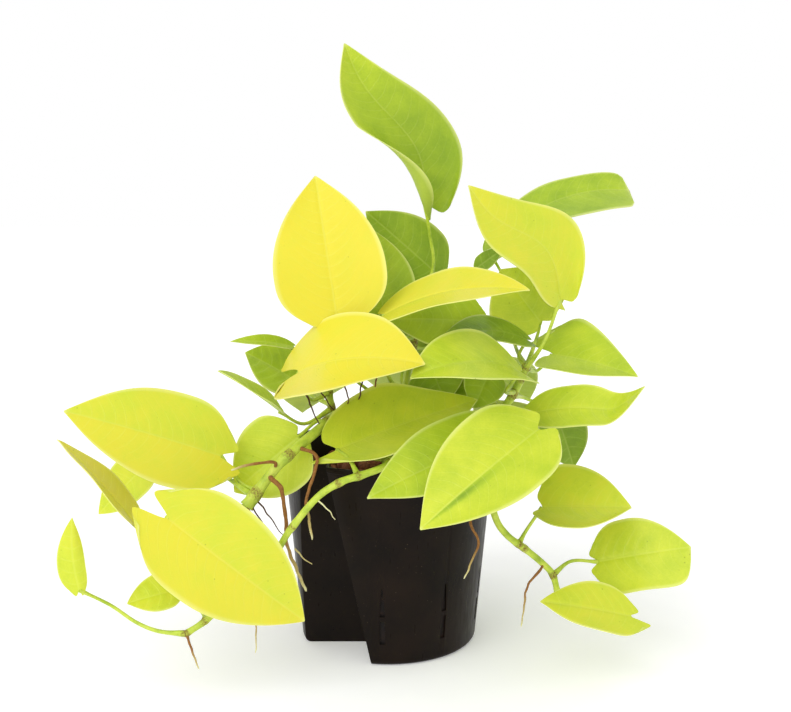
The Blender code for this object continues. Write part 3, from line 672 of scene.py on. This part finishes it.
def bladeSpot(leaf, along, side):  # foot at the origin, tip along +Y, upper side up, in mm
    chord = leaf["chord"]
    bend = math.radians(leaf["droop"])
    arc = chord * (bend / 2) / math.sin(bend / 2)
    away, hand = abs(side), 0 if side < 0 else 1
    lobeAt = blade["lobeAt"]
    if away < lobeAt:
        lobe = (away / lobeAt) ** 2 * (3 - 2 * away / lobeAt)
    else:
        lobe = 1 - 0.5 * ((away - lobeAt) / (1 - lobeAt)) ** 2
    reach = along - leaf["lobes"][hand] * lobe * (1 - along) ** 3
    lean = bend * (0.5 - reach)
    y = arc / bend * (math.sin(bend / 2) - math.sin(lean))
    z = arc / bend * (math.cos(lean) - math.cos(bend / 2))
    if along < leaf["widest"]:
        width = 1 - leaf["necks"][hand] * ((leaf["widest"] - along) / leaf["widest"]) ** 3
    else:
        beyond = (along - leaf["widest"]) / (1 - leaf["widest"])
        width = (1 - beyond ** leaf["points"][hand]) * (1 - 0.15 * beyond ** 6) + 0.012 * beyond
    across = leaf["width"] / 2 * width * (1 + leaf["skew"] * (2 * hand - 1))
    fold = math.radians(leaf["folds"][hand])
    baseCurl = math.radians(leaf["baseCurls"][hand]) * max(0, 1 - along / 0.6)
    x = lift = 0
    steps = blade["bendSteps"]
    for step in range(steps):  # the half bends more and more towards its margin
        share = away * (step + 0.5) / steps
        angle = fold * (0.35 + 0.65 * share) + baseCurl * share * share
        x += across * away / steps * math.cos(angle)
        lift += across * away / steps * math.sin(angle)
    run, span = reach * arc, across * away
    lift -= blade["groove"] * bump(span, blade["grooveWidth"])  # the midrib lies in a groove
    beat = (run - leafLook["veinLean"] * span ** leafLook["veinCurve"]) / leafLook["veinSpacing"]
    # the tissue swells between the veins
    lift += blade["swell"] * math.sin(beat * 2 * math.pi) * min(1, span / 4) * (1 - away ** 4)
    wave = leaf["wave"] * math.sin(run / leaf["waveRun"] + leaf["phase"])
    lift += wave * away ** 3 * math.sin(math.pi * along)
    x = math.copysign(x, side)
    x += leaf["sway"] * math.sin(math.pi * along) + leaf["snake"] * math.sin(2 * math.pi * along)
    lift += leaf["hook"] * max(0, (along - blade["hookFrom"]) / 0.3) ** 2
    lift -= leaf["sag"] * bump(along - blade["sagAt"], 0.2)
    spot = Vector((x, y - math.sin(lean) * lift, z + math.cos(lean) * lift))
    return spot, math.copysign(span, side), run


def bladeTurn(foot, tip, faces):
    ahead = (tip - foot).normalized()
    up = (faces - ahead * faces.dot(ahead)).normalized()
    return Matrix((ahead.cross(up), ahead, up)).transposed()


def makeLeaf(name):  # made another way: a grid moved by a formula, which no hand tool would give
    leaf = leaves[name]
    foot, tip, faces = Vector(leaf["foot"]), Vector(leaf["tip"]), Vector(leaf["faces"])
    leaf["chord"] = (tip - foot).length
    bpy.ops.object.select_all(action="DESELECT")
    bpy.ops.mesh.primitive_grid_add(x_subdivisions=blade["columns"], y_subdivisions=blade["rows"], size=2)
    thing = bpy.context.active_object
    mesh = thing.data
    turn = Matrix.Translation(foot) @ bladeTurn(foot, tip, faces).to_4x4()
    tones, edges, marks = [], [], []
    for vert in mesh.vertices:
        along = (vert.co.y + 1) / 2
        side = math.copysign(abs(vert.co.x) ** 1.25, vert.co.x)
        spot, span, run = bladeSpot(leaf, along, side)
        vert.co = (turn @ spot) * mm
        cloud = 0.03 * noise.noise(Vector((leaf["order"], along * 2, side)))
        tone = leaf["tone"] + leaf["tipTone"] * along ** 2 + cloud
        # painted shade: one half of the blade is made greener to stand in for the shade of the fold at the
        # midrib
        tone += leaf["paintedHalfShades"][0 if side < 0 else 1]
        if side * leaf["foldShadeBand"] > 0:  # painted shade: a darker green band beside the midrib, standing in for the shaded side of the fold, widest in the middle
            tone += 0.4 * bump(abs(side) - 0.1, 0.1) * bump(along - 0.66, 0.26)
        tones.append(tone)
        edges.append(max(abs(side) ** 40, along ** 90))
        marks.append((0.5 + span / leafLook["markSpan"], run / leafLook["markSpan"] + 0.1))
    mesh.uv_layers[0].name = "blade"
    for loop in mesh.loops:
        mesh.uv_layers["blade"].data[loop.index].uv = marks[loop.vertex_index]
    setValues(thing, "tone", tones)
    setValues(thing, "edge", edges)
    thicken = thing.modifiers.new("thickness", "SOLIDIFY")
    thicken.thickness = blade["thickness"] * mm
    thicken.offset = 0
    applyModifiers(thing)
    up = turn.to_3x3().col[2]
    half = len(thing.data.vertices) // 2
    middle = half // 2
    firstIsUpper = (thing.data.vertices[middle].co - thing.data.vertices[half + middle].co).dot(up) > 0
    setValues(thing, "under", [float((index >= half) == firstIsUpper) for index in range(2 * half)])
    finishPiece(thing, name.replace("leaf_", "blade"), leafTissue, [name], 50)


for name in leaves:
    makeLeaf(name)
print("leaves made:", len(leaves))


# Vines with their leaf stalks, in mm

vines = {
    "left": dict(radius=3.6, flare=0.3, route=[
        (24, 14, 109), (10, 2, 138), (-8, -10, 152), (-29, -30, 146), (-39, -42, 140), (-50, -55, 133),
        (-63, -64, 122), (-79, -72, 102)]),
    "front_left": dict(radius=2.3, route=[
        (6, -38, 109), (4, -54, 125), (-3, -70, 124), (-15, -76, 121), (-26, -79, 118), (-39, -82, 110),
        (-54, -84, 92), (-62, -86, 80), (-80, -90, 62), (-98, -96, 46), (-110, -98, 38)]),
    "right": dict(radius=2.4, route=[
        (34, -22, 109), (42, -36, 125), (49, -44, 127), (55, -49, 118), (61, -50, 91), (68, -50, 79),
        (80, -48, 69), (90, -46, 60), (96, -46, 53), (99, -48, 42)]),
    "crown_left": dict(radius=2.4, route=[
        (-22, 4, 109), (-30, -4, 130), (-35, -12, 150), (-36, -14, 172)]),
    "crown_centre": dict(radius=2.6, route=[
        (4, 26, 109), (10, 20, 150), (16, 15, 185), (20, 12, 206)]),
    "crown_right": dict(radius=2.8, route=[
        (40, 0, 109), (58, -10, 132), (72, -15, 151), (82, -13, 170)]),
    "back": dict(radius=2.4, route=[(-6, 36, 109), (-4, 48, 128), (6, 58, 140), (20, 62, 146)]),
}

vineShape = dict(taper=0.2, nodeSpacing=34, nodeSwell=0.22, nodeWidth=2.6, flareWidth=12, lumps=0.12,
                 roundness=5)
stalk = dict(radius=1.2, base=1.9, end=0.9, neck=1.35, thinning=0.25, roundness=3)


def smoothRoute(points, steps):  # Catmull-Rom through the points
    points = [Vector(point) for point in points]
    padded = [2 * points[0] - points[1]] + points + [2 * points[-1] - points[-2]]
    route = []
    for before, start, end, after in zip(padded, padded[1:], padded[2:], padded[3:]):
        for step in range(steps):
            t = step / steps
            bow = 2 * before - 5 * start + 4 * end - after
            route.append(0.5 * (2 * start + (end - before) * t + bow * t ** 2
                                + (3 * start - before - 3 * end + after) * t ** 3))
    return route + [points[-1]]


def makeTube(route, radii, roundness):  # a bevelled curve turned to mesh
    bpy.ops.object.select_all(action="DESELECT")
    bpy.ops.curve.primitive_bezier_curve_add()
    curve = bpy.context.active_object.data
    curve.splines.clear()
    curve.bevel_depth = mm
    curve.bevel_resolution = roundness
    curve.use_fill_caps = True
    spline = curve.splines.new("POLY")
    spline.points.add(len(route) - 1)
    for point, spot, radius in zip(spline.points, route, radii):
        point.co = (*(spot * mm), 1)
        point.radius = radius
    bpy.ops.object.convert(target="MESH")
    bpy.ops.object.mode_set(mode="EDIT")
    bpy.ops.mesh.select_all(action="SELECT")
    bpy.ops.mesh.remove_doubles(threshold=0.000001)
    bpy.ops.mesh.normals_make_consistent(inside=False)
    bpy.ops.object.mode_set(mode="OBJECT")
    return bpy.context.active_object


def makeStalk(leaf, start):  # from the vine to just under the foot of the blade
    foot, tip, faces = Vector(leaf["foot"]), Vector(leaf["tip"]), Vector(leaf["faces"])
    lean = math.radians(leaf["droop"]) / 2
    under = foot - bladeTurn(foot, tip, faces) @ Vector((0, -math.sin(lean), math.cos(lean))) * 0.5
    path = smoothRoute([start, *leaf["stalk"], under], 7)
    last = len(path) - 1
    widths = [stalk["radius"] * (1 - stalk["thinning"] * at / last)
              + (stalk["base"] - stalk["radius"]) * bump(at, 3)
              + (stalk["neck"] - stalk["end"]) * bump(last - at, 1.6) for at in range(last + 1)]
    return makeTube(path, widths, stalk["roundness"])


def makeVine(name):
    vine = vines[name]
    route = smoothRoute(vine["route"], 8)
    lengths = [0]
    for first, second in zip(route, route[1:]):
        lengths.append(lengths[-1] + (second - first).length)
    mine = [leaf for leaf in leaves.values() if leaf["vine"] == name]
    starts = [min(route, key=lambda spot: (spot - Vector(leaf["stalk"][0])).length) for leaf in mine]
    spacing = vineShape["nodeSpacing"]
    nodes = sorted({round(lengths[route.index(start)]) for start in starts}
                   | {round(spacing * step) for step in range(1, int(lengths[-1] / spacing))})
    radii = []
    for at, length in enumerate(lengths):
        taper = 1 - vineShape["taper"] * at / len(lengths)
        swell = max([vineShape["nodeSwell"] * bump(length - node, vineShape["nodeWidth"])
                     for node in nodes] + [0])
        swell += vine.get("flare", 0) * bump(length - lengths[-1], vineShape["flareWidth"])
        lumps = vineShape["lumps"] * noise.noise(route[at] / 9)
        radii.append(vine["radius"] * taper * (0.94 + swell) + lumps)
    thing = makeTube(route, radii, vineShape["roundness"])
    for leaf, start in zip(mine, starts):
        joinWith(thing, makeStalk(leaf, start), "UNION")
    rings = [route[min(range(len(route)), key=lambda at: abs(lengths[at] - node))] for node in nodes]
    scars = []
    for vert in thing.data.vertices:
        spot = vert.co / mm
        near = min((spot - ring).length for ring in rings)
        scars.append(0.62 * bump(near - vine["radius"], 0.9) + 0.2 * bump((spot - route[-1]).length, 2))
    setValues(thing, "scar", scars)
    finishPiece(thing, "vine-" + name.replace("_", "-"), stemRind, ["vine_" + name], 60)


for name in vines:
    makeVine(name)
print("vines made")


# Aerial roots, with a few hair roots, in mm

roots = {
    "aerial_root_01": dict(radius=1.5, route=[
        (-63, -72, 117), (-59, -73, 111), (-57, -73, 96), (-56, -75, 80), (-51, -76, 66),
        (-46, -76, 54)]),
    "aerial_root_02": dict(radius=1.1, route=[(-64, -70, 127), (-77, -76, 127), (-86, -80, 125)]),
    "aerial_root_03": dict(radius=0.8, route=[(-75, -78, 99), (-71, -80, 92), (-67, -80, 84)]),
    "aerial_root_04": dict(radius=1.1, route=[
        (-40, -66, 128), (-45, -76, 108), (-44, -78, 98), (-42, -79, 85)]),
    "aerial_root_05": dict(radius=0.9, route=[
        (88, -49, 57), (81, -50, 48), (79, -51, 36), (78, -51, 23)]),
    "aerial_root_06": dict(radius=0.8, route=[(-108, -101, 34), (-106, -101, 28), (-103, -102, 19)]),
    "aerial_root_07": dict(radius=0.7, route=[(-71, -91, 66), (-72, -94, 46), (-73, -94, 25)]),
    "aerial_root_08": dict(radius=0.9, route=[
        (47, -62, 91), (51, -64, 78), (47, -66, 68), (43, -66, 58)]),
}

hairs = {  # thin side roots and dark thin stalks, age from 0 pale and fresh to 1 dark brown
    "pale1": dict(radius=0.5, age=0.1, route=[(-52, -75.5, 79), (-48, -77, 75), (-42.5, -78, 70.7)]),
    "pale2": dict(radius=0.45, age=-0.1, route=[(-38.5, -82.5, 109), (-33, -84, 104), (-29, -85, 98.5)]),
    "pale3": dict(radius=0.45, age=0.2, route=[(-44.5, -77, 106), (-43.5, -80, 97), (-41.5, -81, 88)]),
    "dark1": dict(radius=0.5, age=0.9, route=[
        (-76, -72, 103), (-74, -74, 100), (-69, -76, 92), (-65, -77, 81.5)]),
    "dark2": dict(radius=0.5, age=0.9, route=[(-74, -70.5, 106), (-66, -74, 97), (-59, -76, 87)]),
    "dark3": dict(radius=0.6, age=0.95, route=[(-50, -36, 164), (-44, -42, 152), (-39, -43, 140)]),
    "dark4": dict(radius=0.6, age=0.95, route=[
        (-31, -21, 189), (-40, -34, 165), (-35, -38, 155), (-31, -33, 147)]),
    "dark5": dict(radius=0.6, age=0.7, route=[
        (-31, -21, 190), (-26, -33, 166), (-23, -36, 155), (-28, -31, 147)]),
    "dark6": dict(radius=0.6, age=0.95, route=[
        (0, -6, 191), (-14, -30, 168), (-17, -34, 156), (-20, -22, 150)]),
    "dark7": dict(radius=0.6, age=0.6, route=[
        (0, -8, 193), (-6, -26, 170), (-9, -28, 160), (-12, -14, 151)]),
}

rootShape = dict(taper=0.5, wander=0.8, wanderSize=5, lumps=0.22, lumpSize=2.5, paleFrom=0.55, old=0.56,
                 young=-0.06)
hairShape = dict(wander=0.7, wanderSize=4)

stemSpots = [spot for vine in vines.values() for spot in smoothRoute(vine["route"], 12)]


def makeRoot(name):
    root = roots[name]
    start = min(stemSpots, key=lambda spot: (spot - Vector(root["route"][0])).length)
    path = smoothRoute([start, *root["route"]], 10)
    last = len(path) - 1
    route = []
    for at, spot in enumerate(path):  # it wanders sideways once it's off the stem
        place = spot / rootShape["wanderSize"]
        sideways = Vector((noise.noise(place), noise.noise(place + Vector((9, 0, 0))), 0))
        route.append(spot + sideways * rootShape["wander"] * min(at, 6) / 6)
    radii = [root["radius"] * (1 - rootShape["taper"] * at / last)
             * (1 + rootShape["lumps"] * noise.noise(spot / rootShape["lumpSize"]))
             for at, spot in enumerate(route)]
    radii[-1] *= 0.4
    thing = makeTube(route, radii, 3)
    pale = rootShape["paleFrom"]
    ages = []
    for vert in thing.data.vertices:
        nearest = min(range(last + 1), key=lambda at: (route[at] - vert.co / mm).length)
        fresh = max(0, nearest / last - pale) / (1 - pale)
        ages.append(rootShape["old"] + (rootShape["young"] - rootShape["old"]) * fresh)
    setValues(thing, "age", ages)
    finishPiece(thing, name.replace("_", "-"), rootBark, [name], 60)


def makeHairs():
    pieces = []
    for hair in hairs.values():
        path = smoothRoute(hair["route"], 8)
        last = len(path) - 1
        route = []
        for spot in path:
            place = spot / hairShape["wanderSize"]
            sideways = Vector((noise.noise(place), 0, noise.noise(place + Vector((5, 0, 0)))))
            route.append(spot + sideways * hairShape["wander"])
        piece = makeTube(route, [hair["radius"] * (1.15 - 0.7 * at / last) for at in range(last + 1)], 1)
        setValues(piece, "age", [hair["age"]] * len(piece.data.vertices))
        pieces.append(piece)
    finishPiece(joinAll(pieces), "hairRoots", rootBark, (), 60)


for name in roots:
    makeRoot(name)
makeHairs()
print("roots made")


# Studio: a pale floor, a soft white surround and one large soft light above

studio = dict(surround=0.85, key=1.3, keyTurn=(50, -16, -20), keySpread=60, floorGlow=0.2, floorSize=8,
              floorTones=[(0.0, "#F1F1F2"), (1.0, "#F8F8F9")])
view = dict(place=(0.00408, -0.740, 0.299), tilt=90 - 9.51, lens=56.48, sensor=36)  # metres, degrees, mm


def makeFloor():
    bpy.ops.object.select_all(action="DESELECT")
    bpy.ops.mesh.primitive_plane_add(size=studio["floorSize"], location=(0, 0, -0.0001))
    floor = bpy.context.active_object
    floor.name = "floor"
    material, tree, shader = startMaterial("paleFloorPaper", 0.9)
    place = addNode(tree, "TexCoord").outputs["Object"]
    fleck = addNode(tree, "TexNoise", {"Scale": 40, "Detail": 3}, {"Vector": place})
    shade = addNode(tree, "ValToRGB", {}, {"Fac": fleck})
    setRamp(shade, studio["floorTones"])
    feed(shader, {"Base Color": shade})
    shader.inputs["Emission Color"].default_value = (1, 1, 1, 1)  # lit from below as a light table is
    shader.inputs["Emission Strength"].default_value = studio["floorGlow"]
    floor.data.materials.append(material)


def makeLight():
    world = bpy.data.worlds.new("softSurround")
    scene.world = world
    world.use_nodes = True
    tree = world.node_tree
    tree.nodes.clear()
    path = addNode(tree, "LightPath")
    strength = addNode(tree, "MapRange", {"To Min": studio["surround"], "To Max": 1.0},
                       {"Value": path.outputs["Is Camera Ray"]})
    sky = addNode(tree, "Background", {"Color": (1, 1, 1, 1)}, {"Strength": strength})
    addNode(tree, "OutputWorld", {}, {"Surface": sky})
    bpy.ops.object.light_add(type="SUN", rotation=[math.radians(turn) for turn in studio["keyTurn"]])
    key = bpy.context.active_object.data
    key.energy = studio["key"]
    key.angle = math.radians(studio["keySpread"])
    scene.view_settings.view_transform = "Standard"


def makeCamera():
    bpy.ops.object.camera_add(location=view["place"], rotation=(math.radians(view["tilt"]), 0, 0))
    camera = bpy.context.active_object
    camera.data.sensor_width = view["sensor"]
    camera.data.lens = view["lens"]
    scene.camera = camera


makeFloor()
makeLight()
makeCamera()
print("studio made")
